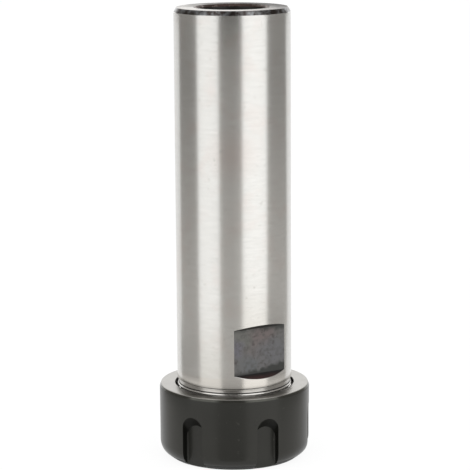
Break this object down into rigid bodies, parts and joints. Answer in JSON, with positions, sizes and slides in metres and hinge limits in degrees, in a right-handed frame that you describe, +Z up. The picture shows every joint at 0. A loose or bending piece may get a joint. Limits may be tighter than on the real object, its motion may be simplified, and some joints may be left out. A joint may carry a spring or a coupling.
{
  "type": "collet chuck holder",
  "caption": "Straight-shank collet chuck holder: a ground shank with wrench flats, a clamping nut with spanner slots and a slit spring collet.",
  "frame": {"origin": "on the shank's axis, at the front face of the clamping nut, on which the holder stands", "axes": "+Z up the shank, away from the nut; -Y out of the wrench flat that the picture shows"},
  "size_m": [0.042, 0.042, 0.1256],
  "materials": {
    "ground_steel": "cylindrically ground, with black oxide left in the wrench flats, on the chamfers and in the bores",
    "black_oxide_steel": "black oxide over turned steel, oiled",
    "collet_steel": "hardened and finely ground spring steel"
  },
  "bodies": {
    "holder": {"chuck_body": "ground_steel"},
    "collet": {"spring_collet": "collet_steel"},
    "nut": {"clamping_nut": "black_oxide_steel"}
  },
  "joints": [
    {"name": "collet_travel", "type": "slide", "parent": "holder", "child": "collet", "axis": [0, 0, -1], "range_m": [0, 0.01125]},
    {"name": "nut_turn", "type": "hinge", "parent": "collet", "child": "nut", "pos_m": [0, 0, 0], "axis": [0, 0, -1], "range_deg": [0, 2700]}
  ],
  "couplings": [
    {"joint": "collet_travel", "follows": "nut_turn", "m_per_rad": 0.00023873}
  ]
}
